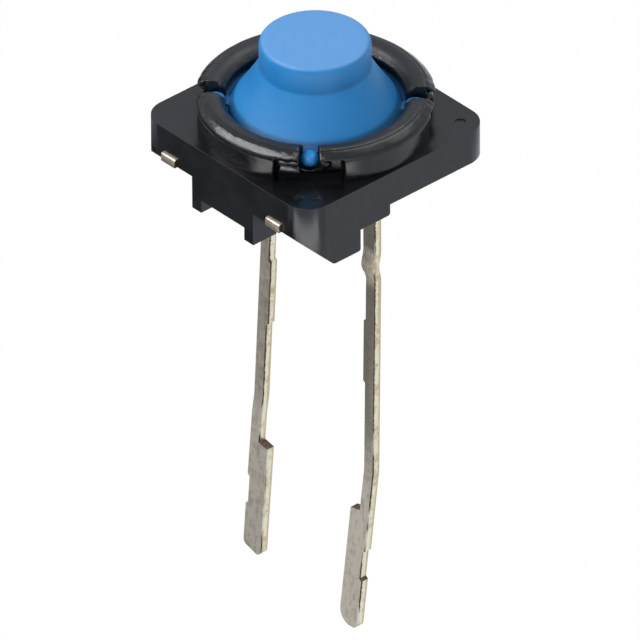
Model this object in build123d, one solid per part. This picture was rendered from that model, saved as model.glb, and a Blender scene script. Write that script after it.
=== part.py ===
# Sealed tactile switch for a circuit board, with long flat leads.
# Millimetres. +Z is up, the button moves along Z, and the two leads stand apart along X.
# The origin is on the button's axis, in the plane of the board that the feet stand on.
import math
import os

from build123d import *

# Square plate of the moulded housing
plate_side = 8.0
plate_corner_radius = 0.9
plate_thickness = 1.2
plate_bottom = 1.2
plate_edge_round = 0.09

# Round collar, formed inwards over the cap while hot
collar_edge_margin = 0.1
collar_wall = 0.6
collar_wall_height = 0.75
collar_shoulder_width = 0.1
collar_shoulder_rise = 0.16
lip_overhang = 0.42
lip_height = 0.95
lip_round = 0.06
lip_gap = 0.06

# Four slots on the diagonals of the collar, each in a relief of its outer wall
slot_width = 0.64
slot_neck_width = 0.48
slot_floor_height = 0.37
slot_neck_length = 0.22
relief_width = 2.28
relief_depth = 0.26
relief_height = 0.86
relief_undercut_depth = 0.1
relief_undercut_height = 0.32

# Round chamber under the cap, with the contacts in its floor
chamber_radius = 2.1
seat_height = 0.1

# Lower body: a cross band and a boss under the plate, with feet to the board
band_width = 2.94
band_drop = 0.73
foot_width = 0.44
foot_depth = 1.0
foot_edge_round = 0.08
boss_radius = 2.05

# Side blocks beside the leads, with a sloped front and a stepped back
block_inner_x = 2.2
block_foot_front = -2.8
block_foot_back = -1.65
block_step_end = -0.38
block_step_drop = 0.4
block_edge_round = 0.16

# Shallow round mould marks on the plate, in two of its corners
mark_radius = 0.17
mark_depth = 0.03
mark_inset = 0.634
mark_spacing = 0.55

# Rubber cap, one moulding: button, boot, clamped flange and the lugs in the slots
button_radius = 1.81
button_top_height = 3.02
button_edge_round = 0.2
crease_height = 2.03
boot_wall = 0.5
flange_top_height = 0.5
flange_gap = 0.02
core_radius = 1.15
core_drop = 0.15
nub_radius = 0.62
lug_gap = 0.015
lug_inset = 0.4
lug_top_height = 0.82
lug_neck_height = 0.62
lug_edge_round = 0.1

# Snap dome of spring steel
dome_radius = 1.95
dome_sheet = 0.07
button_travel = 0.25
nub_gap = 0.02

# Two terminals, stamped and bent from one sheet, moulded into the housing
sheet = 0.3
lead_pitch = 5.0
lead_front_y = 0.1
rail_width = 0.65
stub_length = 0.12
bend_radius = 0.1
centre_pad_radius = 0.5
centre_strip_width = 0.6
ring_contact_width = 0.55
contact_gap = 0.25
bridge_width = 0.9

# Outline of a lead, as offsets from its centre line: inner is towards the other lead
lead_half_width = 0.2
shoulder_extra = 0.13
swell_extra = 0.09
swell_top = -4.3
swell_bottom = -6.7
wide_end_extra = 0.43
notch_depth = 0.1
notch_start = 1.45
notch_length = 0.95
notch_slope = 0.08

# Snap-in kink just below the board
kink_top = -1.75
kink_length = 0.85
kink_offset = 0.09

# What differs between the two leads, as they were bent and cut: z of the bend and of the wide end's
# top, the wide end's length, the slopes above and below the bend, and the flat between them
left_bend = -9.55
left_flat = 0.65
left_slope = 0.055
left_flat_slope = 0.16
left_lower_slope = 0.085
left_wide_top = -11.2
left_wide_length = 4.0
left_cut_rise = 0.2
right_bend = -10.1
right_slope = 0.014
right_lower_slope = 0.125
right_wide_top = -11.65
right_wide_length = 4.25
right_tip_round = 0.5
tip_round = 0.18

# Levels and radii that follow from the sizes above
plate_top = plate_bottom + plate_thickness
half_side = plate_side / 2
collar_radius = half_side - collar_edge_margin
pocket_radius = collar_radius - collar_wall
flange_radius = pocket_radius - flange_gap
lip_radius = pocket_radius - lip_overhang
boot_foot_radius = lip_radius - lip_gap
slot_neck_end = lip_radius + slot_neck_length
lug_reach = collar_radius - lug_inset
corner_reach = (half_side - plate_corner_radius) * math.sqrt(2) + plate_corner_radius
mark_reach = corner_reach - mark_inset
seat_z = plate_top + seat_height
flange_top = plate_top + flange_top_height
lip_underside = flange_top + flange_gap
floor_z = plate_bottom + sheet
dome_top = floor_z + button_travel + dome_sheet
nub_bottom = dome_top + nub_gap
lead_x = lead_pitch / 2
diagonals = [45 + 90 * i for i in range(4)]

# Which side of a block or cylinder lies at its origin
standing = (Align.CENTER, Align.CENTER, Align.MIN)
hanging = (Align.CENTER, Align.CENTER, Align.MAX)
outward = (Align.MIN, Align.CENTER, Align.MIN)
inward = (Align.MAX, Align.CENTER, Align.MIN)


def side_profile(points):
    # Face in the YZ plane from (y, z) points
    return make_face(Polyline([(0, y, z) for y, z in points], close=True))


def corner_at(face, **place):
    # Corners of a face whose named coordinates have the given values
    corners = face.vertices()
    for axis, value in place.items():
        corners = [v for v in corners if abs(getattr(v, axis.upper()) - value) < 0.001]
    return corners


def plate():
    slab = extrude(RectangleRounded(plate_side, plate_side, plate_corner_radius), plate_thickness)
    slab = Pos(0, 0, plate_bottom) * slab
    rim = slab.faces().sort_by(Axis.Z)[-1].edges()
    return fillet(rim, plate_edge_round)


def collar():
    # Wall, rounded shoulder, and a low domed crown that ends in the lip over the cap's flange
    wall_top = (collar_radius, 0, plate_top + collar_wall_height)
    shoulder = (collar_radius - collar_shoulder_width, 0, wall_top[2] + collar_shoulder_rise)
    lip_edge = (lip_radius, 0, plate_top + lip_height)
    shoulder_arc = TangentArc(wall_top, shoulder, tangent=(0, 0, 1))
    outline = [
        Line((pocket_radius, 0, plate_bottom), (collar_radius, 0, plate_bottom)),
        Line((collar_radius, 0, plate_bottom), wall_top),
        shoulder_arc,
        TangentArc(shoulder, lip_edge, tangent=shoulder_arc % 1),
        Line(lip_edge, (lip_radius, 0, lip_underside)),
        Line((lip_radius, 0, lip_underside), (pocket_radius, 0, lip_underside)),
        Line((pocket_radius, 0, lip_underside), (pocket_radius, 0, plate_bottom)),
    ]
    face = fillet(corner_at(make_face(outline), x=lip_radius, z=lip_edge[2]), lip_round)
    return revolve(face, Axis.Z)


def slot_cut():
    # Along +X: a round-bottomed slot through the collar's wall, narrower through the lip
    reach = collar_radius + 1
    floor = plate_top + slot_floor_height
    half = slot_width / 2
    height = collar_wall_height + collar_shoulder_rise
    wall_slot = Box(reach - slot_neck_end, slot_width, height, align=outward)
    wall_slot = Pos(slot_neck_end, 0, floor + half) * wall_slot
    bottom = Rot(0, 90, 0) * Cylinder(half, reach - slot_neck_end, align=standing)
    bottom = Pos(slot_neck_end, 0, floor + half) * bottom
    neck = Box(slot_neck_end - boot_foot_radius, slot_neck_width, height, align=outward)
    neck = Pos(boot_foot_radius, 0, lip_underside) * neck
    return wall_slot + bottom + neck


def relief_cut():
    # Along +X: the collar's outer wall stands back on both sides of a slot, further at its foot
    wall_radius = collar_radius - relief_depth
    foot_radius = wall_radius - relief_undercut_depth
    window = Box(plate_side, relief_width, relief_height, align=outward)
    upper = window - Cylinder(wall_radius, relief_height, align=standing)
    lower = Box(plate_side, relief_width, relief_undercut_height, align=outward)
    lower = lower - Cylinder(foot_radius, relief_undercut_height, align=standing)
    return Pos(0, 0, plate_top) * (upper + lower)


def side_block():
    # On the +X side: foot with a sloped front that starts at the plate's lower edge, then a step
    step_z = plate_bottom - block_step_drop
    profile = side_profile(
        [
            (-half_side, plate_bottom),
            (block_foot_front, 0),
            (block_foot_back, 0),
            (block_foot_back, step_z),
            (block_step_end, step_z),
            (block_step_end, plate_bottom),
        ]
    )
    rounded = [v for v in profile.vertices() if v.Z < plate_bottom - 0.1]
    rounded = [v for v in rounded if not (v.Z > 0.1 and abs(v.Y - block_foot_back) < 0.01)]
    profile = fillet(rounded, block_edge_round)
    block = Pos(block_inner_x, 0, 0) * extrude(profile, half_side - block_inner_x, dir=(1, 0, 0))
    column = extrude(RectangleRounded(plate_side, plate_side, plate_corner_radius), plate_bottom)
    return block & column


def feet():
    # Four feet at the ends of the cross band
    foot = Box(foot_width, foot_depth, plate_bottom, align=(Align.MAX, Align.MIN, Align.MIN))
    lower_edges = [e for e in foot.edges() if e.center().Z < 0.01]
    foot = Pos(band_width / 2, -half_side, 0) * fillet(lower_edges, foot_edge_round)
    front = foot + mirror(foot, Plane.YZ)
    return front + mirror(front, Plane.XZ)


def lower_body():
    band = Box(band_width, plate_side, band_drop, align=hanging)
    boss = Cylinder(boss_radius, band_drop, align=hanging)
    block = side_block()
    return Pos(0, 0, plate_bottom) * (band + boss) + feet() + block + mirror(block, Plane.YZ)


def mould_marks():
    # Two marks side by side in the front corner, and one in the corner to its right
    dimple = Pos(0, 0, plate_top - mark_depth) * Cylinder(mark_radius, 1, align=standing)
    pair = [Rot(0, 0, -45) * Pos(mark_reach, side * mark_spacing / 2, 0) * dimple for side in (-1, 1)]
    return pair + [Rot(0, 0, 45) * Pos(mark_reach, 0, 0) * dimple]


def housing(terminals):
    body = plate() + collar() + lower_body()
    pocket = Pos(0, 0, seat_z) * Cylinder(pocket_radius, lip_underside - seat_z, align=standing)
    chamber = Pos(0, 0, floor_z) * Cylinder(chamber_radius, seat_z - floor_z, align=standing)
    body = body - pocket - chamber
    for angle in diagonals:
        body = body - Rot(0, 0, angle) * relief_cut() - Rot(0, 0, angle) * slot_cut()
    for mark in mould_marks():
        body = body - mark
    for terminal in terminals:
        body = body - terminal
    return body


def cap_profile():
    top = plate_top + button_top_height
    crease = plate_top + crease_height
    inner_foot = boot_foot_radius - boot_wall
    cavity_top = crease - boot_wall
    core_bottom = seat_z - core_drop
    edge_start = (button_radius - button_edge_round, 0, top)
    edge_end = (button_radius, 0, top - button_edge_round)
    boot_foot = (boot_foot_radius, 0, flange_top)
    cavity_top_radius = core_radius + (inner_foot - core_radius) / 3
    outline = [
        Line((0, 0, top), edge_start),
        TangentArc(edge_start, edge_end, tangent=(1, 0, 0)),
        Line(edge_end, (button_radius, 0, crease)),
        Line((button_radius, 0, crease), boot_foot),
        Line(boot_foot, (flange_radius, 0, flange_top)),
        Line((flange_radius, 0, flange_top), (flange_radius, 0, seat_z)),
        Line((flange_radius, 0, seat_z), (inner_foot, 0, seat_z)),
        Line((inner_foot, 0, seat_z), (cavity_top_radius, 0, cavity_top)),
        Line((cavity_top_radius, 0, cavity_top), (core_radius, 0, cavity_top)),
        Line((core_radius, 0, cavity_top), (core_radius, 0, core_bottom)),
        Line((core_radius, 0, core_bottom), (nub_radius, 0, core_bottom)),
        Line((nub_radius, 0, core_bottom), (nub_radius, 0, nub_bottom)),
        Line((nub_radius, 0, nub_bottom), (0, 0, nub_bottom)),
        Line((0, 0, nub_bottom), (0, 0, top)),
    ]
    return make_face(outline)


def lug():
    # Along +X: rubber that fills a slot, with the slot's own round bottom
    half = slot_width / 2 - lug_gap
    bottom = plate_top + slot_floor_height + lug_gap
    inner = slot_neck_end + lug_gap
    height = plate_top + lug_top_height - bottom - half
    section = Box(lug_reach - inner, 2 * half, height, align=outward)
    section = fillet([e for e in section.edges() if e.center().Z > height - 0.01], lug_edge_round)
    section = Pos(inner, 0, bottom + half) * section
    round_bottom = Rot(0, 90, 0) * Cylinder(half, lug_reach - inner, align=standing)
    round_bottom = Pos(inner, 0, bottom + half) * round_bottom
    neck_half = slot_neck_width / 2 - lug_gap
    neck_bottom = flange_top - flange_gap
    neck_height = plate_top + lug_neck_height - neck_bottom
    neck = Box(inner - boot_foot_radius + boot_wall, 2 * neck_half, neck_height, align=inward)
    neck = Pos(inner, 0, neck_bottom) * neck
    return section + round_bottom + neck


def rubber_cap():
    cap = revolve(cap_profile(), Axis.Z)
    for angle in diagonals:
        cap = cap + Rot(0, 0, angle) * lug()
    return cap


def snap_dome():
    # Shallow spherical cap of even thickness, flat where its rim stands on the contact ring
    rise = button_travel
    inner_radius = (dome_radius**2 + rise**2) / (2 * rise)
    centre_z = floor_z + rise - inner_radius
    outer = Pos(0, 0, centre_z) * Sphere(inner_radius + dome_sheet)
    inner = Pos(0, 0, centre_z) * Sphere(inner_radius)
    disc = Pos(0, 0, floor_z) * Cylinder(dome_radius, rise + 2 * dome_sheet, align=standing)
    return (outer - inner) & disc


def lead_side(bend, flat, slope, flat_slope, lower_slope, tip):
    # Rail, bend and lead seen along X, with the snap-in kink and the lean of the lead
    kink_mid = kink_top - kink_length / 3
    kink_low = kink_top - 2 * kink_length / 3
    kink_end = kink_top - kink_length
    at_bend = lead_front_y - slope * (kink_end - bend)
    at_flat = at_bend - flat_slope * flat
    front = [
        (lead_front_y, kink_top),
        (lead_front_y - kink_offset, kink_mid),
        (lead_front_y - kink_offset, kink_low),
        (lead_front_y, kink_end),
        (at_bend, bend),
    ]
    if flat > 0:
        front.append((at_flat, bend - flat))
    front.append((at_flat - lower_slope * (bend - flat - tip), tip))
    back = [(y + sheet, z) for y, z in reversed(front)]
    rail_end = -half_side - stub_length
    path = [(rail_end, plate_bottom), (lead_front_y, plate_bottom)] + front
    path = path + back + [(lead_front_y + sheet, floor_z), (rail_end, floor_z)]
    face = side_profile(path)
    face = fillet(corner_at(face, y=lead_front_y, z=plate_bottom), bend_radius)
    return fillet(corner_at(face, y=lead_front_y + sheet, z=floor_z), bend_radius + sheet)


def lead_front(wide_top, wide_length, cut_rise, inner_tip_round):
    # Outline of a terminal seen along Y, for the +X side; u runs outwards from the lead's centre line
    tip = wide_top - wide_length
    inner = -lead_half_width
    outer = lead_half_width
    wide = inner - wide_end_extra
    notch_top = wide_top - notch_start
    notch_bottom = notch_top - notch_length
    kink_low = kink_top - 2 * kink_length / 3
    kink_end = kink_top - kink_length
    rail_half = rail_width / 2
    points = [
        (-rail_half, floor_z),
        (-rail_half, plate_bottom),
        (inner - shoulder_extra, plate_bottom - sheet),
        (inner - shoulder_extra, kink_low),
        (inner, kink_end),
        (inner, swell_top),
        (inner - swell_extra, swell_top - notch_slope),
        (inner - swell_extra, swell_bottom),
        (inner, swell_bottom - notch_slope),
        (inner, wide_top),
        (wide, wide_top - notch_slope),
        (wide, tip),
        (outer, tip + cut_rise),
        (outer, notch_bottom - notch_slope),
        (outer - notch_depth, notch_bottom),
        (outer - notch_depth, notch_top),
        (outer, notch_top + notch_slope),
        (outer, plate_bottom - sheet),
        (rail_half, plate_bottom),
        (rail_half, floor_z),
    ]
    face = make_face(Polyline([(lead_x + u, 0, z) for u, z in points], close=True))
    face = fillet(corner_at(face, x=lead_x + wide, z=tip), inner_tip_round)
    return fillet(corner_at(face, x=lead_x + outer, z=tip + cut_rise), tip_round)


def terminal_blank(side_face, front_face):
    # Stamped outline of the lead with its rail, on the +X side
    depth = half_side + stub_length + 1
    strip = Pos(lead_x, 0, 0) * extrude(side_face, rail_width, dir=(1, 0, 0), both=True)
    outline = extrude(front_face, depth, dir=(0, 1, 0), both=True)
    return strip & outline


def terminal_left():
    tip = left_wide_top - left_wide_length
    side_face = lead_side(left_bend, left_flat, left_slope, left_flat_slope, left_lower_slope, tip)
    front_face = lead_front(left_wide_top, left_wide_length, left_cut_rise, tip_round)
    blank = mirror(terminal_blank(side_face, front_face), Plane.YZ)
    strip_end = lead_x - rail_width / 2
    strip = Box(strip_end, centre_strip_width, sheet, align=(Align.MAX, Align.MAX, Align.MIN))
    pad = Cylinder(centre_pad_radius, sheet, align=standing)
    return blank + Pos(0, 0, plate_bottom) * (strip + pad)


def terminal_right():
    tip = right_wide_top - right_wide_length
    side_face = lead_side(right_bend, 0, right_slope, 0, right_lower_slope, tip)
    front_face = lead_front(right_wide_top, right_wide_length, 0, right_tip_round)
    blank = terminal_blank(side_face, front_face)
    ring = Cylinder(chamber_radius, sheet) - Cylinder(chamber_radius - ring_contact_width, sheet)
    gap_width = centre_strip_width + 2 * contact_gap
    gap = Box(half_side, gap_width, sheet, align=(Align.MAX, Align.MAX, Align.CENTER))
    gap = Pos(0, contact_gap, 0) * gap
    bridge_end = lead_x - rail_width / 2
    bridge_start = chamber_radius - ring_contact_width / 2
    bridge = Pos(bridge_start, 0, 0) * Box(
        bridge_end - bridge_start, bridge_width, sheet, align=(Align.MIN, Align.MAX, Align.CENTER)
    )
    return blank + Pos(0, 0, plate_bottom + sheet / 2) * (ring - gap + bridge)


left = terminal_left()
right = terminal_right()
nodes = {
    "housing": housing([left, right]),
    "rubber_cap": rubber_cap(),
    "snap_dome": snap_dome(),
    "terminal_left": left,
    "terminal_right": right,
}
os.makedirs("parts", exist_ok=True)
for name, shape in nodes.items():
    export_step(shape, f"parts/{name}.step")
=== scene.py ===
import math

import bmesh
import bpy
from mathutils import Matrix, Vector, noise


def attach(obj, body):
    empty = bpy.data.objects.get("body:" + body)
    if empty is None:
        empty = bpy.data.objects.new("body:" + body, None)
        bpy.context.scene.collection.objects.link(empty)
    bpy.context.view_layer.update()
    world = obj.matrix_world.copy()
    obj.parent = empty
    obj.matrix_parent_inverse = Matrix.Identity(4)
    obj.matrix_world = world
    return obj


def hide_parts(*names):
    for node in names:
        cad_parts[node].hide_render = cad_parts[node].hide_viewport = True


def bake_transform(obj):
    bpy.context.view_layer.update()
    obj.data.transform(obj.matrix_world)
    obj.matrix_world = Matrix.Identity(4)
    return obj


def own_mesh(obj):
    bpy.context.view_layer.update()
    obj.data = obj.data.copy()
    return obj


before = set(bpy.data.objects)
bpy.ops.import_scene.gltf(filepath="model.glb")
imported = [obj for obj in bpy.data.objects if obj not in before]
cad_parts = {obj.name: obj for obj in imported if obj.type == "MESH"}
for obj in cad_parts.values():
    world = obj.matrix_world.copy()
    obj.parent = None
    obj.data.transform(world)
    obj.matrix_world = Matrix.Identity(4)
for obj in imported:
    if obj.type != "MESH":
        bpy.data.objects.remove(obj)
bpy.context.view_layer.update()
print("frame loaded:", ", ".join(sorted(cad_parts)))

# Pieces are shaped in millimetres and brought to metres when they are finished
mm = 0.001
plateTop = 2.4  # the level that the collar and the cap are measured from


# Small tools for meshes

def meshObject(name, bm):
    bmesh.ops.recalc_face_normals(bm, faces=bm.faces)
    mesh = bpy.data.meshes.new(name)
    bm.to_mesh(mesh)
    bm.free()
    made = bpy.data.objects.new(name, mesh)
    bpy.context.scene.collection.objects.link(made)
    return made


def bakeModifiers(piece):
    bpy.context.view_layer.update()
    graph = bpy.context.evaluated_depsgraph_get()
    shaped = bpy.data.meshes.new_from_object(piece.evaluated_get(graph))
    piece.modifiers.clear()
    old = piece.data
    piece.data = shaped
    bpy.data.meshes.remove(old)


def combine(base, tool, how):
    step = base.modifiers.new("combine", "BOOLEAN")
    step.operation = how
    step.solver = "EXACT"
    step.object = tool
    bakeModifiers(base)
    bpy.data.objects.remove(tool)


def block(low, high):
    bm = bmesh.new()
    made = bmesh.ops.create_cube(bm, size=1)
    size = [b - a for a, b in zip(low, high)]
    centre = [(a + b) / 2 for a, b in zip(low, high)]
    bmesh.ops.scale(bm, vec=size, verts=made["verts"])
    bmesh.ops.translate(bm, vec=centre, verts=made["verts"])
    return bm


def disc(radius, low, high, sides=96):
    bm = bmesh.new()
    made = bmesh.ops.create_cone(
        bm, cap_ends=True, segments=sides, radius1=radius, radius2=radius, depth=high - low
    )
    bmesh.ops.translate(bm, vec=(0, 0, (low + high) / 2), verts=made["verts"])
    return bm


def upright(edge):
    a, b = edge.verts
    return abs(a.co.z - b.co.z) > 0.5 * (a.co - b.co).length


def roundEdges(bm, edges, width, segments):
    bmesh.ops.bevel(
        bm, geom=edges, offset=width, offset_type="OFFSET", affect="EDGES",
        segments=segments, profile=0.5, material=-1, clamp_overlap=True,
    )


def sharpEdges(bm, degrees):
    limit = math.radians(degrees)
    return [e for e in bm.edges if len(e.link_faces) == 2 and e.calc_face_angle(0) > limit]


def spunProfile(points, steps, rounding=None, angle=2 * math.pi):
    # points are (radius, height), and rounding gives the corners that are rounded
    bm = bmesh.new()
    corners = [bm.verts.new((r, 0, z)) for r, z in points]
    for i, corner in enumerate(corners):
        bm.edges.new((corner, corners[(i + 1) % len(corners)]))
    for index, (width, segments) in (rounding or {}).items():
        bmesh.ops.bevel(
            bm, geom=[corners[index]], offset=width, offset_type="OFFSET", affect="VERTICES",
            segments=segments, profile=0.5, material=-1,
        )
    bmesh.ops.spin(
        bm, geom=bm.verts[:] + bm.edges[:], cent=(0, 0, 0), axis=(0, 0, 1),
        angle=angle, steps=steps, use_merge=True,
    )
    bmesh.ops.remove_doubles(bm, verts=bm.verts, dist=0.0005)
    return bm


def smoothShade(mesh, degrees):
    bm = bmesh.new()
    bm.from_mesh(mesh)
    limit = math.radians(degrees)
    for face in bm.faces:
        face.smooth = True
    for edge in bm.edges:
        edge.smooth = not (len(edge.link_faces) == 2 and edge.calc_face_angle(0) > limit)
    bm.to_mesh(mesh)
    bm.free()


def finishPiece(piece, materials, body, nodes, shade=35, flatFaces=False):
    piece.data.transform(Matrix.Scale(mm, 4))
    smoothShade(piece.data, shade)
    if flatFaces:
        even = piece.modifiers.new("flatFaces", "WEIGHTED_NORMAL")
        even.keep_sharp = True
        even.weight = 100
    for material in materials:
        piece.data.materials.append(material)
    if body:
        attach(piece, body)
    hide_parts(*nodes)
    print("finished", piece.name, len(piece.data.polygons), "faces")


# Small tools for materials

def addNode(tree, kind, settings=None, **inputs):
    node = tree.nodes.new(kind)
    for name, value in (settings or {}).items():
        setattr(node, name, value)
    for name, value in inputs.items():
        socket = node.inputs[int(name[1:])] if name[0] == "i" and name[1:].isdigit() else node.inputs[name]
        if isinstance(value, bpy.types.NodeSocket):
            tree.links.new(value, socket)
        else:
            socket.default_value = value
    return node


def mathNode(tree, operation, a, b=0.0, clamp=False):
    node = addNode(tree, "ShaderNodeMath", {"operation": operation, "use_clamp": clamp}, i0=a, i1=b)
    return node.outputs[0]


def times(tree, a, b):
    return mathNode(tree, "MULTIPLY", a, b)


def plus(tree, a, b, clamp=False):
    return mathNode(tree, "ADD", a, b, clamp)


def noiseNode(tree, vector, scale, detail=3.0, roughness=0.55):
    node = addNode(
        tree, "ShaderNodeTexNoise", {"noise_dimensions": "3D"},
        Vector=vector, Scale=scale, Detail=detail, Roughness=roughness,
    )
    return node.outputs["Fac"]


def rangeNode(tree, value, low, high, toLow, toHigh):
    settings = {"interpolation_type": "SMOOTHSTEP"}
    node = addNode(tree, "ShaderNodeMapRange", settings, i0=value, i1=low, i2=high, i3=toLow, i4=toHigh)
    return node.outputs[0]


def rising(tree, value, low, high):
    return rangeNode(tree, value, low, high, 0.0, 1.0)


def falling(tree, value, low, high):
    return rangeNode(tree, value, low, high, 1.0, 0.0)


def between(tree, value, edges):
    # edges are where the mask starts, is full, starts to fade and is gone
    return times(tree, rising(tree, value, *edges[:2]), falling(tree, value, *edges[2:]))


def mixColour(tree, factor, a, b):
    settings = {"data_type": "RGBA", "blend_type": "MIX"}
    node = tree.nodes.new("ShaderNodeMix")
    for name, value in settings.items():
        setattr(node, name, value)
    for socket, value in ((node.inputs[0], factor), (node.inputs[6], a), (node.inputs[7], b)):
        if isinstance(value, bpy.types.NodeSocket):
            tree.links.new(value, socket)
        else:
            socket.default_value = value
    return node.outputs[2]


def placeIn(tree, vector=None, scale=(1000, 1000, 1000)):
    # Object coordinates in millimetres
    if vector is None:
        vector = tree.nodes.new("ShaderNodeTexCoord").outputs["Object"]
    node = addNode(tree, "ShaderNodeMapping", {"vector_type": "POINT"}, Vector=vector, Scale=scale)
    return node.outputs[0]


def heightIn(tree, place):
    return addNode(tree, "ShaderNodeSeparateXYZ", None, Vector=place).outputs[2]


def radiusIn(tree, place):
    # Distance from the part's upright axis
    flat = addNode(tree, "ShaderNodeVectorMath", {"operation": "MULTIPLY"}, i0=place, i1=(1, 1, 0)).outputs[0]
    return addNode(tree, "ShaderNodeVectorMath", {"operation": "LENGTH"}, Vector=flat).outputs["Value"]


def newGroup(name, inputs, outputs):
    group = bpy.data.node_groups.new(name, "ShaderNodeTree")
    for label, kind, value in inputs:
        socket = group.interface.new_socket(label, in_out="INPUT", socket_type=kind)
        if value is not None:
            socket.default_value = value
    for label, kind in outputs:
        group.interface.new_socket(label, in_out="OUTPUT", socket_type=kind)
    start = group.nodes.new("NodeGroupInput")
    end = group.nodes.new("NodeGroupOutput")
    return group, start, end


def useGroup(tree, group, **inputs):
    node = tree.nodes.new("ShaderNodeGroup")
    node.node_tree = group
    for name, value in inputs.items():
        socket = node.inputs[name]
        if isinstance(value, bpy.types.NodeSocket):
            tree.links.new(value, socket)
        else:
            socket.default_value = value
    return node


def newMaterial(name):
    material = bpy.data.materials.new(name)
    material.use_nodes = True
    return material, material.node_tree, material.node_tree.nodes["Principled BSDF"]


def surfaceFrom(tree, shader, colour, rough, height, depth):
    # Colour, roughness from a socket or as a number, and bumps of a depth in metres
    tree.links.new(colour, shader.inputs["Base Color"])
    if isinstance(rough, bpy.types.NodeSocket):
        tree.links.new(rough, shader.inputs["Roughness"])
    else:
        shader.inputs["Roughness"].default_value = rough
    bump = addNode(tree, "ShaderNodeBump", None, Height=height, Distance=depth, Strength=1.0)
    tree.links.new(bump.outputs[0], shader.inputs["Normal"])


# Effects that several materials share

def buildMouldGrain():
    # Fine texture of a mould's wall, with a slow unevenness under it
    number = "NodeSocketFloat"
    group, start, end = newGroup(
        "mouldGrain",
        [("Vector", "NodeSocketVector", None), ("Grain", number, 20.0), ("Waves", number, 1.5)],
        [("Height", number), ("Patches", number)],
    )
    where = start.outputs["Vector"]
    fine = addNode(group, "ShaderNodeTexNoise", None, Vector=where, Scale=start.outputs["Grain"], Detail=2.0)
    slow = addNode(group, "ShaderNodeTexNoise", None, Vector=where, Scale=start.outputs["Waves"], Detail=3.0)
    height = plus(group, fine.outputs["Fac"], times(group, slow.outputs["Fac"], 2.0))
    group.links.new(height, end.inputs["Height"])
    group.links.new(rising(group, slow.outputs["Fac"], 0.35, 0.65), end.inputs["Patches"])
    return group


def buildFineMarks():
    # Thin drawn lines along a strip, from the rolls and dies that the sheet went through
    group, start, end = newGroup(
        "fineMarks",
        [("Vector", "NodeSocketVector", None), ("Density", "NodeSocketFloat", 30.0)],
        [("Lines", "NodeSocketFloat")],
    )
    where, density = start.outputs["Vector"], start.outputs["Density"]
    lines = addNode(group, "ShaderNodeTexNoise", None, Vector=where, Scale=density, Detail=3.0)
    group.links.new(rising(group, lines.outputs["Fac"], 0.4, 0.62), end.inputs["Lines"])
    return group


mouldGrain = buildMouldGrain()
fineMarks = buildFineMarks()


def blackPlastic():
    look = {
        "dark": (0.003, 0.0033, 0.004, 1), "light": (0.0045, 0.005, 0.006, 1), "rough": (0.20, 0.26),
        "grain": 16.0, "waves": 0.9, "bumps": 0.0000035,
    }
    material, tree, shader = newMaterial("blackPlastic")
    grain = useGroup(tree, mouldGrain, Vector=placeIn(tree), Grain=look["grain"], Waves=look["waves"])
    patches = grain.outputs["Patches"]
    colour = mixColour(tree, patches, look["dark"], look["light"])
    rough = rangeNode(tree, patches, 0, 1, *look["rough"])
    surfaceFrom(tree, shader, colour, rough, grain.outputs["Height"], look["bumps"])
    return material


def formedPlastic():
    # The same plastic where a hot tool has pressed it: glossy and uneven, duller on the crown
    look = {
        "gloss": (0.0028, 0.003, 0.0035, 1), "crown": (0.0085, 0.0088, 0.0098, 1),
        "glossRough": 0.19, "crownRough": 0.42, "crownRadius": 3.50, "crownLevel": plateTop + 0.86,
        "ragged": 0.16, "patchRough": (-0.04, 0.08), "grain": 22.0, "waves": 1.6, "bumps": 0.000006,
    }
    material, tree, shader = newMaterial("formedPlastic")
    place = placeIn(tree)
    ragged = plus(tree, radiusIn(tree, place), times(tree, noiseNode(tree, place, 3.0), look["ragged"]))
    inside = falling(tree, ragged, look["crownRadius"] + 0.04, look["crownRadius"] + 0.14)
    above = rising(tree, heightIn(tree, place), look["crownLevel"], look["crownLevel"] + 0.07)
    crown = times(tree, inside, above)
    grain = useGroup(tree, mouldGrain, Vector=place, Grain=look["grain"], Waves=look["waves"])
    colour = mixColour(tree, crown, look["gloss"], look["crown"])
    patchy = rangeNode(tree, grain.outputs["Patches"], 0, 1, *look["patchRough"])
    rough = plus(tree, rangeNode(tree, crown, 0, 1, look["glossRough"], look["crownRough"]), patchy)
    surfaceFrom(tree, shader, colour, rough, grain.outputs["Height"], look["bumps"])
    return material


def blueSilicone():
    # Matt rubber, with a painted sheen that makes the button's face paler, and painted shade that makes it
    # darker down in the gap beside the collar
    look = {
        "deep": (0.007, 0.217, 0.565, 1), "pale": (0.010, 0.229, 0.587, 1),
        "paintedSheen": (0.100, 0.308, 0.655, 1), "shaded": (0.003, 0.050, 0.135, 1),
        "rough": (0.42, 0.52), "faceLevel": 5.27, "faceRadius": 1.70, "gapLevel": plateTop + 0.72,
        "gapRing": (2.45, 2.6, 2.85, 2.98), "gapShade": 0.75, "grain": 14.0, "waves": 1.1, "bumps": 0.000004,
    }
    material, tree, shader = newMaterial("blueSilicone")
    place = placeIn(tree)
    height, radius = heightIn(tree, place), radiusIn(tree, place)
    grain = useGroup(tree, mouldGrain, Vector=place, Grain=look["grain"], Waves=look["waves"])
    patches = grain.outputs["Patches"]
    # Painted shade: the rubber's colour darkens low down in the gap between the cone and the collar's lip
    sunk = falling(tree, height, look["gapLevel"], look["gapLevel"] + 0.14)
    gap = times(tree, times(tree, sunk, between(tree, radius, look["gapRing"])), look["gapShade"])
    colour = mixColour(tree, gap, mixColour(tree, patches, look["deep"], look["pale"]), look["shaded"])
    # Painted sheen: the button's top face is mixed towards a paler, whiter blue
    above = rising(tree, height, look["faceLevel"] - 0.06, look["faceLevel"] + 0.06)
    face = times(tree, falling(tree, radius, look["faceRadius"], look["faceRadius"] + 0.09), above)
    colour = mixColour(tree, face, colour, look["paintedSheen"])
    rough = rangeNode(tree, patches, 0, 1, *look["rough"])
    surfaceFrom(tree, shader, colour, rough, grain.outputs["Height"], look["bumps"])
    shader.inputs["IOR"].default_value = 1.55
    return material


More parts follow.
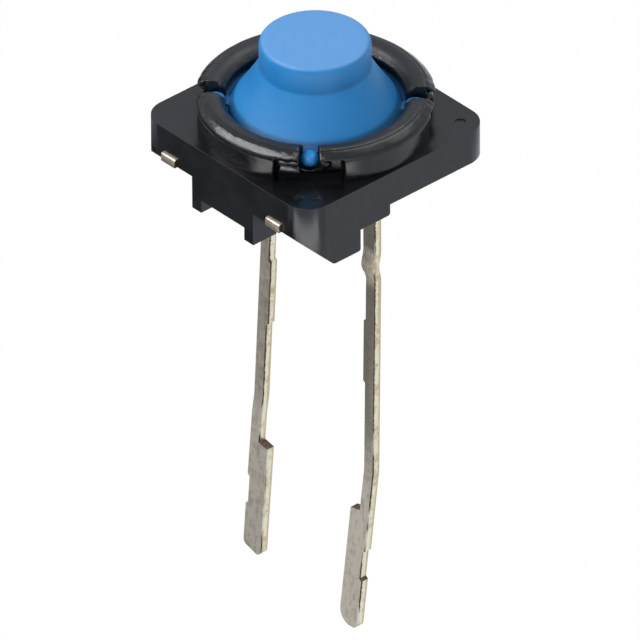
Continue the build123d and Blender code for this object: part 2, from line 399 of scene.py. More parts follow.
def tinPlate():
    # Dull tin on rolled strip, mottled, rougher where it was bent or cut, with painted shade that makes it
    # darker and browner towards the housing
    look = {
        "bright": (0.74, 0.64, 0.505, 1), "dullAndShaded": (0.50, 0.425, 0.33, 1), "rough": (0.20, 0.30),
        "shadeFrom": (-10.5, -8.0), "shadeDepth": 0.45, "stubFrom": (0.8, 1.2), "stubRough": 0.16,
        "bend": (-3.1, -2.6, -1.7, -1.4), "bendRough": 0.3, "bumps": 0.000002,
        "clouds": (0.38, 0.62, -0.25, 0.25), "spots": (0.4, 0.8, -0.3, 0.4), "lineShare": 0.2,
    }
    material, tree, shader = newMaterial("tinPlate")
    place = placeIn(tree)
    height = heightIn(tree, place)
    drawn = useGroup(tree, fineMarks, Vector=placeIn(tree, None, (1000, 1000, 60)), Density=14.0)
    # Painted shade: the strip darkens and browns higher up, towards the housing; the clouds and spots below
    # are the tin's own uneven tone
    high = rangeNode(tree, height, *look["shadeFrom"], 0.0, look["shadeDepth"])
    slow = rangeNode(tree, noiseNode(tree, place, 0.9, 4.0), *look["clouds"])
    lines = times(tree, drawn.outputs["Lines"], look["lineShare"])
    mottle = plus(tree, noiseNode(tree, place, 4.0, 2.0, 0.5), lines)
    dullAndShaded = plus(tree, high, slow, clamp=True)
    dullAndShaded = plus(tree, dullAndShaded, rangeNode(tree, mottle, *look["spots"]), clamp=True)
    colour = mixColour(tree, dullAndShaded, look["bright"], look["dullAndShaded"])
    stub = rangeNode(tree, height, *look["stubFrom"], 0.0, look["stubRough"])
    bend = times(tree, between(tree, height, look["bend"]), look["bendRough"])
    rough = plus(tree, rangeNode(tree, dullAndShaded, 0, 1, *look["rough"]), plus(tree, stub, bend))
    surfaceFrom(tree, shader, colour, rough, mottle, look["bumps"])
    shader.inputs["Metallic"].default_value = 1.0
    return material


def shearedEdge():
    # Bare yellowish metal on the cut edges, grainy, with a dark burr along the front face
    look = {
        "burnished": (0.90, 0.82, 0.63, 1), "torn": (0.58, 0.45, 0.23, 1), "burr": (0.09, 0.055, 0.025, 1),
        "rough": (0.3, 0.55), "burrEdge": (0.16, 0.30), "bumps": 0.000012,
        "tornBack": (0.85, 1.15, 0.0, 0.8), "tornSpots": (0.45, 0.62, 0.0, 0.9),
        "spotGrains": (0.42, 0.58, 0.35, 1.0), "burrGaps": (0.38, 0.5, 0.15, 1.0),
    }
    material, tree, shader = newMaterial("shearedEdge")
    place = placeIn(tree)
    depth = addNode(tree, "ShaderNodeAttribute", {"attribute_name": "sheetDepth"}).outputs["Fac"]
    grains = noiseNode(tree, placeIn(tree, None, (1000, 1000, 1800)), 5.0, 4.0, 0.7)
    ragged = plus(tree, depth, times(tree, grains, 0.5))
    torn = rangeNode(tree, ragged, *look["tornBack"])
    patches = rangeNode(tree, noiseNode(tree, place, 2.2, 4.0, 0.65), *look["tornSpots"])
    patches = times(tree, patches, rangeNode(tree, grains, *look["spotGrains"]))
    worn = mathNode(tree, "MAXIMUM", torn, patches)
    stretches = noiseNode(tree, placeIn(tree, None, (1000, 1000, 300)), 1.4, 3.0)
    edge = falling(tree, mathNode(tree, "SUBTRACT", ragged, 0.25), *look["burrEdge"])
    burr = times(tree, edge, rangeNode(tree, stretches, *look["burrGaps"]))
    colour = mixColour(tree, burr, mixColour(tree, worn, look["burnished"], look["torn"]), look["burr"])
    surfaceFrom(tree, shader, colour, rangeNode(tree, worn, 0, 1, *look["rough"]), grains, look["bumps"])
    shader.inputs["Metallic"].default_value = 1.0
    return material


def shadedCutEnds():
    # Upward-facing facets on the cut lower ends: rough, and painted dark brown as shade, standing in for the
    # dark surroundings they reflect
    look = {
        "brown": (0.05, 0.03, 0.015, 1), "light": (0.15, 0.10, 0.055, 1), "rough": 0.6,
        "grain": 9.0, "bumps": 0.00002,
    }
    material, tree, shader = newMaterial("shadedCutEnds")
    grains = noiseNode(tree, placeIn(tree), look["grain"], 4.0, 0.7)
    colour = mixColour(tree, rising(tree, grains, 0.48, 0.64), look["brown"], look["light"])
    surfaceFrom(tree, shader, colour, look["rough"], grains, look["bumps"])
    return material


def springSteel():
    look = {
        "steel": (0.55, 0.55, 0.54, 1), "worn": (0.38, 0.37, 0.35, 1), "rough": (0.22, 0.34),
        "density": 18.0, "bumps": 0.000001,
    }
    material, tree, shader = newMaterial("springSteel")
    drawn = useGroup(tree, fineMarks, Vector=placeIn(tree, None, (1000, 40, 1000)), Density=look["density"])
    lines = drawn.outputs["Lines"]
    colour = mixColour(tree, lines, look["steel"], look["worn"])
    surfaceFrom(tree, shader, colour, rangeNode(tree, lines, 0, 1, *look["rough"]), lines, look["bumps"])
    shader.inputs["Metallic"].default_value = 1.0
    return material


plastic = blackPlastic()
formed = formedPlastic()
silicone = blueSilicone()
tin = tinPlate()
bareEdge = shearedEdge()
shadedEnd = shadedCutEnds()
steel = springSteel()
print("materials ready")


# Moulded base: square plate, cross band, boss, feet and the blocks beside the leads

base = {
    "side": 8.0, "cornerRadius": 0.9, "bottom": 1.2, "floor": 1.5, "seat": 2.5,
    "bandWidth": 2.94, "bandDrop": 0.73, "bossRadius": 2.05,
    "footWidth": 0.44, "footDepth": 1.0,
    "blockInner": 2.2, "blockFront": -2.8, "blockBack": -1.65, "stepEnd": -0.38, "stepDrop": 0.4,
    "blockRound": 0.096, "chamberRadius": 2.1, "seatRadius": 3.5, "edgeRound": 0.055,
    "markRadius": 0.17, "markDepth": 0.05, "markReach": 4.65, "markSpacing": 0.55,
}

# Plain dimples near the plate's corners: the corner's angle and how many spacings each lies to the side
marks = {-45: (-0.5, 0.5), 45: (0,)}


def roundedColumn(low, high):
    half = base["side"] / 2
    bm = block((-half, -half, low), (half, half, high))
    roundEdges(bm, [e for e in bm.edges if upright(e)], base["cornerRadius"], 12)
    return bm


def sideBlock():
    half = base["side"] / 2
    stepZ = base["bottom"] - base["stepDrop"]
    inner = base["blockInner"]
    over = base["bottom"] + 0.2
    outline = [
        (-half, over), (-half, base["bottom"]), (base["blockFront"], 0), (base["blockBack"], 0),
        (base["blockBack"], stepZ), (base["stepEnd"], stepZ), (base["stepEnd"], over),
    ]
    bm = bmesh.new()
    corners = [bm.verts.new((inner, y, z)) for y, z in outline]
    bm.faces.new(corners)
    bmesh.ops.bevel(
        bm, geom=[corners[2], corners[3], corners[5]], offset=base["blockRound"], offset_type="OFFSET",
        affect="VERTICES", segments=6, profile=0.5, material=-1,
    )
    pulled = bmesh.ops.extrude_face_region(bm, geom=bm.faces[:])
    moved = [v for v in pulled["geom"] if isinstance(v, bmesh.types.BMVert)]
    bmesh.ops.translate(bm, vec=(half - inner, 0, 0), verts=moved)
    made = meshObject("sideBlock", bm)
    combine(made, meshObject("column", roundedColumn(-0.5, 2.0)), "INTERSECT")
    return made


def makeBase():
    half = base["side"] / 2
    bottom = base["bottom"]
    whole = meshObject("housingBase", roundedColumn(bottom, plateTop))
    bandHalf = base["bandWidth"] / 2
    low = bottom - base["bandDrop"]
    inside = bottom + 0.2  # the lower forms reach into the plate
    combine(whole, meshObject("band", block((-bandHalf, -half, low), (bandHalf, half, inside))), "UNION")
    combine(whole, meshObject("boss", disc(base["bossRadius"], low, inside)), "UNION")
    for sx in (-1, 1):
        for sy in (-1, 1):
            xs = sorted((sx * bandHalf, sx * (bandHalf - base["footWidth"])))
            ys = sorted((sy * half, sy * (half - base["footDepth"])))
            foot = block((xs[0], ys[0], 0), (xs[1], ys[1], inside))
            combine(whole, meshObject("foot", foot), "UNION")
    right = sideBlock()
    left = right.copy()
    left.data = right.data.copy()
    bpy.context.scene.collection.objects.link(left)
    bm = bmesh.new()
    bm.from_mesh(left.data)
    bmesh.ops.scale(bm, vec=(-1, 1, 1), verts=bm.verts)
    bmesh.ops.reverse_faces(bm, faces=bm.faces)
    bm.to_mesh(left.data)
    bm.free()
    combine(whole, right, "UNION")
    combine(whole, left, "UNION")
    seat = disc(base["seatRadius"], plateTop - 0.2, base["seat"])
    combine(whole, meshObject("seat", seat), "UNION")
    chamber = disc(base["chamberRadius"], base["floor"], base["seat"] + 1)
    combine(whole, meshObject("chamber", chamber), "DIFFERENCE")
    for angle, offsets in marks.items():
        for offset in offsets:
            mark = disc(base["markRadius"], plateTop - base["markDepth"], plateTop + 0.5, 32)
            turn = Matrix.Rotation(math.radians(angle), 4, "Z")
            shift = Matrix.Translation((base["markReach"], offset * base["markSpacing"], 0))
            bmesh.ops.transform(mark, matrix=turn @ shift, verts=mark.verts)
            combine(whole, meshObject("mark", mark), "DIFFERENCE")
    bm = bmesh.new()
    bm.from_mesh(whole.data)
    bmesh.ops.remove_doubles(bm, verts=bm.verts, dist=0.0005)
    bmesh.ops.dissolve_limit(bm, angle_limit=math.radians(0.5), verts=bm.verts, edges=bm.edges)
    # All but the chamber's edges and the seat's upper edge are rounded
    chamberEdge = base["chamberRadius"] + 0.01
    outer = [e for e in sharpEdges(bm, 30) if (e.verts[0].co.z + e.verts[1].co.z) / 2 < plateTop + 0.001]
    outer = [e for e in outer if e.verts[0].co.xy.length > chamberEdge or e.verts[0].co.z < bottom + 0.1]
    roundEdges(bm, outer, base["edgeRound"], 3)
    bm.to_mesh(whole.data)
    bm.free()
    return whole


housingBase = makeBase()
finishPiece(housingBase, [plastic], "housing", ["housing"], flatFaces=True)


# Round collar, formed inwards over the cap with a hot tool

collar = {
    "radius": 3.9, "pocket": 3.3, "lip": 2.9, "underside": 0.52,
    "slotWidth": 0.64, "slotFloor": 0.37, "slotEnd": 3.1, "neckWidth": 0.48, "neckFloor": 0.45,
    "reliefWidth": 2.28, "reliefDepth": 0.26, "reliefHeight": 0.86,
    "undercut": 0.12, "undercutTop": 0.36, "undercutLow": 0.26,
    "voxel": 0.0345, "lumps": 0.010, "slotLumps": 0.035, "slotSpread": 17,
    "creaseRadius": 3.56, "creaseDepth": 0.028, "creaseWidth": 0.03, "creaseFrom": 0.95,
    "beadRadius": 3.34, "beadHeight": 0.955, "beadSize": (0.34, 0.20, 0.085),
    # Radius and height of the shoulder's and the crown's section, from the wall to the lip
    "shoulder": ((3.9, 0.66), (3.905, 0.74), (3.90, 0.805), (3.88, 0.862), (3.83, 0.925), (3.74, 1.005),
                 (3.665, 1.07)),
    "crown": ((3.60, 1.10), (3.52, 1.115), (3.43, 1.12), (3.34, 1.115), (3.26, 1.10), (3.18, 1.068),
              (3.10, 1.015), (3.03, 0.95), (2.96, 0.87)),
    "lipTop": 0.80,
}

# Molten lumps in the reliefs, slot by slot: distance beside the slot, height, and sizes along, up and out
lumps = {
    -45: ((-0.44, 0.60, 0.14, 0.22, 0.15), (0.50, 0.68, 0.20, 0.14, 0.22), (0.42, 0.50, 0.14, 0.16, 0.16)),
    45: ((-0.72, 0.66, 0.30, 0.11, 0.19), (-0.55, 0.46, 0.32, 0.13, 0.20), (0.50, 0.60, 0.24, 0.18, 0.19),
         (0.80, 0.68, 0.17, 0.12, 0.17)),
    135: ((-0.62, 0.62, 0.30, 0.14, 0.20), (0.48, 0.66, 0.20, 0.14, 0.20), (0.72, 0.48, 0.26, 0.13, 0.20)),
    -135: ((-0.80, 0.74, 0.40, 0.15, 0.33), (-0.58, 0.48, 0.30, 0.14, 0.17), (0.52, 0.62, 0.26, 0.13, 0.16)),
}

# Folds of plastic that ran along a relief: slot, start and end beside it, height, reach and slope
folds = (
    (-45, -1.04, -0.34, 0.82, 3.81, 0.15),
    (-45, -1.00, -0.30, 0.58, 3.84, 0.16),
    (45, 0.36, 0.98, 0.80, 3.79, 0.13),
)

# Slots over which the crown has run a little from one side, and that side's place beside the slot
beads = {45: -0.38, -135: 0.38}


def turned(bm, degrees):
    turn = Matrix.Rotation(math.radians(degrees), 3, "Z")
    bmesh.ops.rotate(bm, cent=(0, 0, 0), matrix=turn, verts=bm.verts)
    return bm


def slotTool(angle):
    half = collar["slotWidth"] / 2
    floor = plateTop + collar["slotFloor"]
    bm = block((collar["slotEnd"], -half, floor), (5, half, plateTop + 2))
    low = [e for e in bm.edges if e.verts[0].co.z < floor + 0.01 and e.verts[1].co.z < floor + 0.01
           and abs(e.verts[0].co.y - e.verts[1].co.y) < 0.01]
    roundEdges(bm, low, half * 0.98, 8)
    return meshObject("slotTool", turned(bm, angle))


def neckTool(angle):
    half = collar["neckWidth"] / 2
    bm = block((2, -half, plateTop + collar["neckFloor"]), (collar["slotEnd"] + 0.2, half, plateTop + 2))
    return meshObject("neckTool", turned(bm, angle))


def reliefTool(angle):
    # The outer wall stands back on both sides of a slot, and further at its foot
    c = collar
    back = c["radius"] - c["reliefDepth"]
    foot = back - c["undercut"]
    spread = 2 * math.asin(c["reliefWidth"] / 2 / c["radius"])
    clear = c["radius"] + 0.5
    outline = [(foot, -0.15), (clear, -0.15), (clear, c["reliefHeight"]), (back, c["reliefHeight"])]
    outline += [(back, c["undercutTop"]), (foot, c["undercutLow"])]
    bm = bmesh.new()
    bm.faces.new([bm.verts.new((r, 0, plateTop + h)) for r, h in outline])
    bmesh.ops.spin(
        bm, geom=bm.verts[:] + bm.edges[:] + bm.faces[:], cent=(0, 0, 0), axis=(0, 0, 1),
        angle=spread, steps=14, use_merge=False,
    )
    bmesh.ops.recalc_face_normals(bm, faces=bm.faces)
    return meshObject("reliefTool", turned(bm, angle - math.degrees(spread) / 2))


def lumpShape(angle, radius, aside, height, size):
    bm = bmesh.new()
    made = bmesh.ops.create_icosphere(bm, subdivisions=3, radius=1)
    bmesh.ops.scale(bm, vec=size, verts=made["verts"])
    bmesh.ops.translate(bm, vec=(radius, 0, plateTop + height), verts=made["verts"])
    return meshObject("lump", turned(bm, angle + math.degrees(aside / radius)))


def foldShape(angle, start, end, height, reach, slope):
    # A ridge with a slanted face, along part of a relief
    root = collar["radius"] - collar["reliefDepth"] - 0.15
    low = height - slope - 0.06
    outline = [(root, low), (root, height), (reach - slope, height), (reach, height - slope), (reach, low)]
    bm = bmesh.new()
    bm.faces.new([bm.verts.new((r, 0, plateTop + h)) for r, h in outline])
    bmesh.ops.spin(
        bm, geom=bm.verts[:] + bm.edges[:] + bm.faces[:], cent=(0, 0, 0), axis=(0, 0, 1),
        angle=(end - start) / reach, steps=8, use_merge=False,
    )
    return meshObject("fold", turned(bm, angle + math.degrees(start / reach)))


def softStep(low, high, value):
    t = min(1.0, max(0.0, (value - low) / (high - low)))
    return t * t * (3 - 2 * t)


def collarUnevenness(point):
    # How far a point of the formed collar stands out or in, in millimetres
    c = collar
    radius = math.hypot(point.x, point.y)
    height = point.z - plateTop
    aroundSlot = abs(math.degrees(math.atan2(point.y, point.x)) % 90 - 45)
    nearSlot = max(0.0, 1 - aroundSlot / c["slotSpread"])
    upper = softStep(0.15, 0.5, height)
    waves = noise.noise(point * 1.3 + Vector((3, 7, 1))) * c["lumps"] * upper
    fine = noise.noise(point * 4.4 + Vector((11, 2, 5))) * c["slotLumps"] * (0.16 * upper + nearSlot * upper)
    drift = noise.noise(point * 0.9 + Vector((2, 2, 8))) * 0.03
    aside = (radius - drift - c["creaseRadius"]) / c["creaseWidth"]
    crease = -c["creaseDepth"] * math.exp(-(aside ** 2))
    return waves + fine + (crease if height > c["creaseFrom"] else 0.0)


def makeCollar():
    c = collar
    z = plateTop
    outline = [(c["pocket"], z - 0.1), (c["radius"], z - 0.1)]
    outline += [(r, z + h) for r, h in c["shoulder"] + c["crown"]]
    outline += [(c["lip"], z + c["lipTop"]), (c["lip"], z + c["underside"]), (c["pocket"], z + c["underside"])]
    whole = meshObject("formedCollar", spunProfile(outline, 240))
    lumpCentre = c["radius"] - c["reliefDepth"] - 0.05
    for angle in lumps:
        combine(whole, reliefTool(angle), "DIFFERENCE")
        for aside, height, along, up, out in lumps[angle]:
            combine(whole, lumpShape(angle, lumpCentre, aside, height, (out, along, up)), "UNION")
    for fold in folds:
        combine(whole, foldShape(*fold), "UNION")
    for angle in lumps:
        combine(whole, slotTool(angle), "DIFFERENCE")
        combine(whole, neckTool(angle), "DIFFERENCE")
    for angle, aside in beads.items():
        combine(whole, lumpShape(angle, c["beadRadius"], aside, c["beadHeight"], c["beadSize"]), "UNION")
    bm = bmesh.new()
    bm.from_mesh(whole.data)
    slits = [e for e in bm.edges if e.is_boundary]  # thin ones, left by the cuts
    bmesh.ops.holes_fill(bm, edges=slits, sides=0)
    bm.to_mesh(whole.data)
    bm.free()
    even = whole.modifiers.new("even", "REMESH")
    even.mode = "VOXEL"
    even.voxel_size = c["voxel"]
    even.use_smooth_shade = True
    soften = whole.modifiers.new("soften", "SMOOTH")
    soften.factor = 0.5
    soften.iterations = 5
    bakeModifiers(whole)
    bm = bmesh.new()
    bm.from_mesh(whole.data)
    bm.normal_update()
    moves = [(v, v.normal * collarUnevenness(v.co)) for v in bm.verts]
    for vert, move in moves:
        vert.co += move
    for step in range(2):
        bmesh.ops.smooth_vert(
            bm, verts=bm.verts, factor=0.4, use_axis_x=True, use_axis_y=True, use_axis_z=True
        )
    bm.to_mesh(whole.data)
    bm.free()
    return whole


formedCollar = makeCollar()
finishPiece(formedCollar, [formed], "housing", ["housing"], 80)


# Rubber cap: button, boot, clamped flange and the lugs in the slots, with the stem inside

cap = {
    "buttonRadius": 1.81, "top": 3.02, "crease": 2.03, "creaseFlare": 0.03, "edgeRound": 0.2, "steps": 192,
    "bootFoot": 2.82, "bootHollow": 0.025, "flangeTop": 0.5, "flangeRadius": 3.28, "seat": 0.1, "wall": 0.5,
    "faceRows": (0.5, 1.0, 1.4), "sideRows": (2.75, 2.5, 2.25),
    "coreRadius": 1.15, "coreDrop": 0.15, "coreRound": 0.08,
    "nubRadius": 0.62, "nubBottom": 1.84, "nubRound": 0.06,
    "lugCentre": (3.21, 0.58), "lugSize": (0.35, 0.31, 0.235), "lugVoxel": 0.024,
    "neckStart": 2.35, "neckStep": (3.02, 2.9), "neckLow": (0.3, 0.42), "neckTop": 0.64, "neckInner": 0.57,
    "gap": 0.015, "bendStart": 3.3, "bendEnd": 4.43,
}


def bootCurve(z):
    # Slightly hollow cone from the crease down to the flange
    foot = (cap["bootFoot"], z + cap["flangeTop"])
    crease = (cap["buttonRadius"] + cap["creaseFlare"], z + cap["crease"] - 0.02)
    parts = 16
    points = []
    for i in range(parts + 1):
        t = i / parts
        hollow = -cap["bootHollow"] * math.sin(math.pi * t)
        radius = crease[0] + (foot[0] - crease[0]) * t + hollow
        points.append((radius, crease[1] + (foot[1] - crease[1]) * t + hollow * 0.6))
    return points


def sideSlab(points, half):
    # Slab of an outline given by distance from the axis and height over the plate
    bm = bmesh.new()
    bm.faces.new([bm.verts.new((r, -half, plateTop + h)) for r, h in points])
    pulled = bmesh.ops.extrude_face_region(bm, geom=bm.faces[:])
    moved = [v for v in pulled["geom"] if isinstance(v, bmesh.types.BMVert)]
    bmesh.ops.translate(bm, vec=(0, 2 * half, 0), verts=moved)
    bmesh.ops.recalc_face_normals(bm, faces=bm.faces)
    return bm


def lugShape(angle):
    # Round-ended lug that fills a slot, with its thinner neck to the boot
    c = cap
    radius, height = c["lugCentre"]
    whole = lumpShape(0, radius, 0, height, c["lugSize"])
    start, top, inner = c["neckStart"], c["neckTop"], c["neckInner"]
    outline = [(start, c["neckLow"][0]), (radius, c["neckLow"][1]), (radius, top)]
    outline += [(c["neckStep"][0], top), (c["neckStep"][1], inner), (start, inner)]
    neck = sideSlab(outline, collar["neckWidth"] / 2 - c["gap"])
    combine(whole, meshObject("lugNeck", neck), "UNION")
    even = whole.modifiers.new("even", "REMESH")
    even.mode = "VOXEL"
    even.voxel_size = c["lugVoxel"]
    soften = whole.modifiers.new("soften", "SMOOTH")
    soften.factor = 0.5
    soften.iterations = 4
    bakeModifiers(whole)
    whole.data.transform(Matrix.Rotation(math.radians(angle), 4, "Z"))
    return whole


def makeCapShell():
    c = cap
    z = plateTop
    innerFoot = c["bootFoot"] - c["wall"]
    cavityTop = z + c["crease"] - c["wall"]
    shoulder = c["coreRadius"] + (innerFoot - c["coreRadius"]) / 3
    outline = [(r, z + c["top"]) for r in (0.0, *c["faceRows"], c["buttonRadius"])]
    outline += [(c["buttonRadius"], z + h) for h in c["sideRows"]]
    outline += [(c["buttonRadius"], z + c["crease"] + h) for h in (0.14, 0.07)]
    outline += [(c["buttonRadius"] + 0.008, z + c["crease"] + 0.02)]
    outline += bootCurve(z)
    outline += [(c["flangeRadius"], z + h) for h in (c["flangeTop"], c["seat"])] + [(innerFoot, z + c["seat"])]
    outline += [(shoulder, cavityTop), (0.0, cavityTop)]
    bm = spunProfile(outline, c["steps"], {4: (c["edgeRound"], 6)})
    whole = meshObject("capShell", bm)
    for angle in (45, 135, 225, 315):  # one lug in each of the collar's slots
        combine(whole, lugShape(angle), "UNION")
    return whole


def makeCapStem():
    c = cap
    coreBottom = plateTop + c["seat"] - c["coreDrop"]
    top = plateTop + c["crease"]
    outline = [(0.0, top), (c["coreRadius"], top), (c["coreRadius"], coreBottom)]
    outline += [(c["nubRadius"], coreBottom), (c["nubRadius"], c["nubBottom"]), (0.0, c["nubBottom"])]
    bm = spunProfile(outline, 96, {2: (c["coreRound"], 4), 4: (c["nubRound"], 4)})
    return meshObject("capStem", bm)


capShell = makeCapShell()
finishPiece(capShell, [silicone], None, ["rubber_cap"])
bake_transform(capShell)
capStem = makeCapStem()
finishPiece(capStem, [silicone], "button", ["rubber_cap"])


# Snap dome on the contact ring

dome = {"radius": 1.95, "rise": 0.25, "sheet": 0.07, "floor": 1.5, "rimLift": 0.042, "keep": 0.22, "rings": 12}


def makeDome():
    d = dome
    inner = (d["radius"] ** 2 + d["rise"] ** 2) / (2 * d["rise"])
    centre = d["floor"] + d["rise"] - inner
    reach = math.asin(d["radius"] / inner)
    angles = [reach * i / d["rings"] for i in range(d["rings"] + 1)]
    under = [(inner * math.sin(a), centre + inner * math.cos(a)) for a in angles]
    outer = inner + d["sheet"]
    over = [(outer * math.sin(a), centre + outer * math.cos(a)) for a in angles[:-1]]
    rim = (d["radius"], d["floor"] + d["rimLift"])
    return meshObject("snapDome", spunProfile(under + [rim] + over[::-1], 96))


snapDome = makeDome()
finishPiece(snapDome, [steel], "housing", ["snap_dome"])
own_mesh(snapDome)


# Terminals: the stamped strip with its edges eased, plated faces and bare sheared edges

lead = {
    "edgeRound": 0.022, "segments": 2, "stubRound": 0.09, "stubFront": -4.1, "stubTop": 1.49,
    "kinkLow": -2.75, "kinkHigh": -1.6, "kinkRound": 0.13, "endLevel": -9.0, "tipStart": -13.7,
}

# Node, the piece's name, and how much longer than its solid's the end below tipStart is
leads = (("terminal_left", "leadLeft", 0.13), ("terminal_right", "leadRight", 0.0))


def makeLead(node, name, tipStretch):
    bm = bmesh.new()
    bm.from_mesh(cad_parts[node].data)
    bmesh.ops.scale(bm, vec=(1 / mm, 1 / mm, 1 / mm), verts=bm.verts)
    bmesh.ops.remove_doubles(bm, verts=bm.verts, dist=0.0005)
    bmesh.ops.dissolve_limit(bm, angle_limit=math.radians(0.5), verts=bm.verts, edges=bm.edges)
    for vert in bm.verts:
        vert.co.z += min(0.0, vert.co.z - lead["tipStart"]) * tipStretch
    front = [e for e in bm.edges if all(v.co.y < lead["stubFront"] for v in e.verts)]
    stub = [e for e in front if all(v.co.z > lead["stubTop"] for v in e.verts)]
    roundEdges(bm, stub, lead["stubRound"], 4)
    level = [e for e in bm.edges if abs(e.verts[0].co.x - e.verts[1].co.x) > 0.3]
    kink = [e for e in level if all(lead["kinkLow"] < v.co.z < lead["kinkHigh"] for v in e.verts)]
    roundEdges(bm, kink, lead["kinkRound"], 4)
    roundEdges(bm, sharpEdges(bm, 40), lead["edgeRound"], lead["segments"])
    depth = bm.verts.layers.float.new("sheetDepth")
    bm.normal_update()
    for face in bm.faces:
        n = face.normal
        low = face.calc_center_median().z < lead["endLevel"]
        # Upward-facing faces low on the strip get the dark brown painted shade
        if n.z > 0.5 and low:
            face.material_index = 2
        elif abs(n.x) > 0.6 or n.z < -0.6 and low:
            face.material_index = 1
        if n.y > 0.2:  # the back of the sheet, with its rounded edges
            for vert in face.verts:
                vert[depth] = 1.0
    return meshObject(name, bm)


for node, name, tipStretch in leads:
    terminal = makeLead(node, name, tipStretch)
    finishPiece(terminal, [tin, bareEdge, shadedEnd], "housing", [node], flatFaces=True)


# Studio: pale floor, soft lamps, white surroundings

studio = {
    "floorLevel": -0.030, "floorSize": 0.9, "floorLeft": 0.018, "turn": -48.2, "rightward": (0.745, 0.667, 0),
    "white": (1, 1, 1, 1), "floorColour": (0.97, 0.97, 0.97, 1), "floorGlow": 0.98,
    "around": (0.80, 0.86, 0.95, 1), "ambient": 0.22, "lowGloss": 0.12, "highGloss": 0.82,
    "darkSide": (-0.25, 0.35), "darkBelow": (0.0, 0.22), "brightStrip": (-0.54, -0.45, -0.37, -0.26),
}

# Soft panels: direction from the part, distance, size, the long side's direction and radiance
panels = {
    "keyLamp": ((-0.309, -0.599, 0.7385), 0.20, (0.253, 0.062), (1.0, -0.23, 0.425), 8.2),
    "backLamp": ((0.15, 0.5, 0.85), 0.30, (0.22, 0.22), (1, 0, 0), 2.0),
    "sideFill": ((0.85, -0.35, 0.30), 0.20, (0.16, 0.07), (0.35, 0.85, 0), 1.05),
    "frontCard": ((0.51, -0.655, -0.557), 0.044, (0.072, 0.016), (0.789, 0.614, 0), 2.9),
}


def makeFloor():
    bm = bmesh.new()
    bmesh.ops.create_grid(bm, x_segments=1, y_segments=1, size=studio["floorSize"] / 2)
    ahead = studio["floorSize"] / 2 - studio["floorLeft"]
    bmesh.ops.translate(bm, vec=(0, ahead, studio["floorLevel"]), verts=bm.verts)
    turned(bm, studio["turn"])
    floor = meshObject("floor", bm)
    if floor.data.polygons[0].normal.z < 0:
        floor.data.flip_normals()
    material = bpy.data.materials.new("paleFloor")
    material.use_nodes = True
    tree = material.node_tree
    tree.nodes.clear()
    path = tree.nodes.new("ShaderNodeLightPath")
    seen = mathNode(tree, "MAXIMUM", path.outputs["Is Camera Ray"], path.outputs["Is Glossy Ray"])
    seen = mathNode(tree, "MAXIMUM", seen, path.outputs["Is Transmission Ray"])
    matte = addNode(tree, "ShaderNodeBsdfDiffuse", None, Color=studio["floorColour"])
    shown = mixColour(tree, path.outputs["Is Camera Ray"], studio["around"], studio["white"])
    glow = addNode(tree, "ShaderNodeEmission", None, Color=shown, Strength=1.0)
    share = times(tree, seen, studio["floorGlow"])
    mix = addNode(tree, "ShaderNodeMixShader", None, i0=share, i1=matte.outputs[0], i2=glow.outputs[0])
    # Nothing to see from below, so that the underside of the part can be looked at
    back = tree.nodes.new("ShaderNodeNewGeometry").outputs["Backfacing"]
    under = times(tree, back, path.outputs["Is Camera Ray"])
    clear = tree.nodes.new("ShaderNodeBsdfTransparent")
    shownMix = addNode(tree, "ShaderNodeMixShader", None, i0=under, i1=mix.outputs[0], i2=clear.outputs[0])
    end = tree.nodes.new("ShaderNodeOutputMaterial")
    tree.links.new(shownMix.outputs[0], end.inputs[0])
    floor.data.materials.append(material)


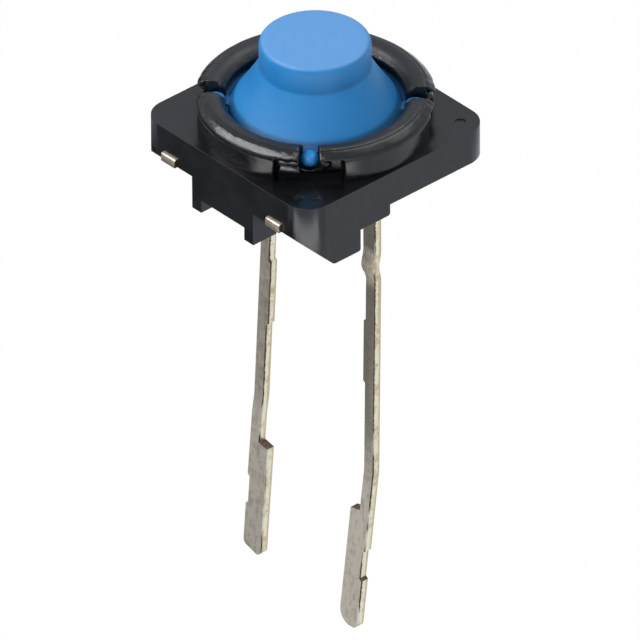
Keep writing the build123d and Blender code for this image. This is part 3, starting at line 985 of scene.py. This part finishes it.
def makeWorld():
    world = bpy.data.worlds.new("studioWorld")
    bpy.context.scene.world = world
    world.use_nodes = True
    tree = world.node_tree
    tree.nodes.clear()
    path = tree.nodes.new("ShaderNodeLightPath")
    direction = tree.nodes.new("ShaderNodeTexCoord").outputs["Generated"]
    aside = addNode(
        tree, "ShaderNodeVectorMath", {"operation": "DOT_PRODUCT"}, i0=direction, i1=studio["rightward"]
    ).outputs["Value"]
    height = heightIn(tree, direction)
    leftSide = falling(tree, aside, *studio["darkSide"])
    below = falling(tree, height, *studio["darkBelow"])
    strip = between(tree, height, studio["brightStrip"])
    dark = times(tree, leftSide, mathNode(tree, "SUBTRACT", below, strip))
    gloss = rangeNode(tree, dark, 0.0, 1.0, studio["highGloss"], studio["lowGloss"])
    shiny = mathNode(tree, "MAXIMUM", path.outputs["Is Glossy Ray"], path.outputs["Is Transmission Ray"])
    matt = times(tree, mathNode(tree, "SUBTRACT", 1.0, shiny), studio["ambient"])
    strength = plus(tree, times(tree, shiny, gloss), matt)
    seen = path.outputs["Is Camera Ray"]
    strength = plus(tree, times(tree, mathNode(tree, "SUBTRACT", 1.0, seen), strength), seen)
    tint = mixColour(tree, shiny, studio["white"], studio["around"])
    background = addNode(tree, "ShaderNodeBackground", None, Color=tint, Strength=strength)
    end = tree.nodes.new("ShaderNodeOutputWorld")
    tree.links.new(background.outputs[0], end.inputs[0])


def softLamp(name, direction, distance, size, along, radiance):
    # A panel facing the object, its long side lying along the given direction
    toLamp = Vector(direction).normalized()
    side = Vector(along)
    side = (side - toLamp * side.dot(toLamp)).normalized()
    lamp = bpy.data.lights.new(name, "AREA")
    lamp.shape = "RECTANGLE"
    lamp.size, lamp.size_y = size
    lamp.energy = radiance * math.pi * size[0] * size[1]
    held = bpy.data.objects.new(name, lamp)
    turn = Matrix((side, toLamp.cross(side), toLamp)).transposed()
    held.matrix_world = Matrix.Translation(toLamp * distance) @ turn.to_4x4()
    bpy.context.scene.collection.objects.link(held)


makeFloor()
makeWorld()
for name, panel in panels.items():
    softLamp(name, *panel)
print("studio ready")


# Camera at the photograph's viewing angle

camera = {
    "azimuth": 48.161, "elevation": 33.842, "roll": 0.206, "distance": 0.8,
    "lens": 1404.0, "aim": (0.1244, -6.495),
}


def makeCamera():
    a, e = math.radians(camera["azimuth"]), math.radians(camera["elevation"])
    back = Vector((math.sin(a) * math.cos(e), -math.cos(a) * math.cos(e), math.sin(e)))
    right = Vector((math.cos(a), math.sin(a), 0))
    up = back.cross(right)
    centre = Vector((0, 0, plateTop * mm))
    place = centre + back * camera["distance"]
    aimX, aimY = camera["aim"]
    target = centre + right * aimX * mm + up * aimY * mm
    data = bpy.data.cameras.new("camera")
    data.lens = camera["lens"]
    data.sensor_width = 36
    eye = bpy.data.objects.new("camera", data)
    eye.location = place
    eye.rotation_mode = "QUATERNION"
    turn = (target - place).to_track_quat("-Z", "Y")
    rollTurn = Matrix.Rotation(math.radians(-camera["roll"]), 3, (place - target).normalized())
    eye.rotation_quaternion = rollTurn.to_quaternion() @ turn
    bpy.context.scene.collection.objects.link(eye)
    bpy.context.scene.camera = eye


makeCamera()
bpy.context.scene.view_settings.view_transform = "Standard"

print("scene ready")
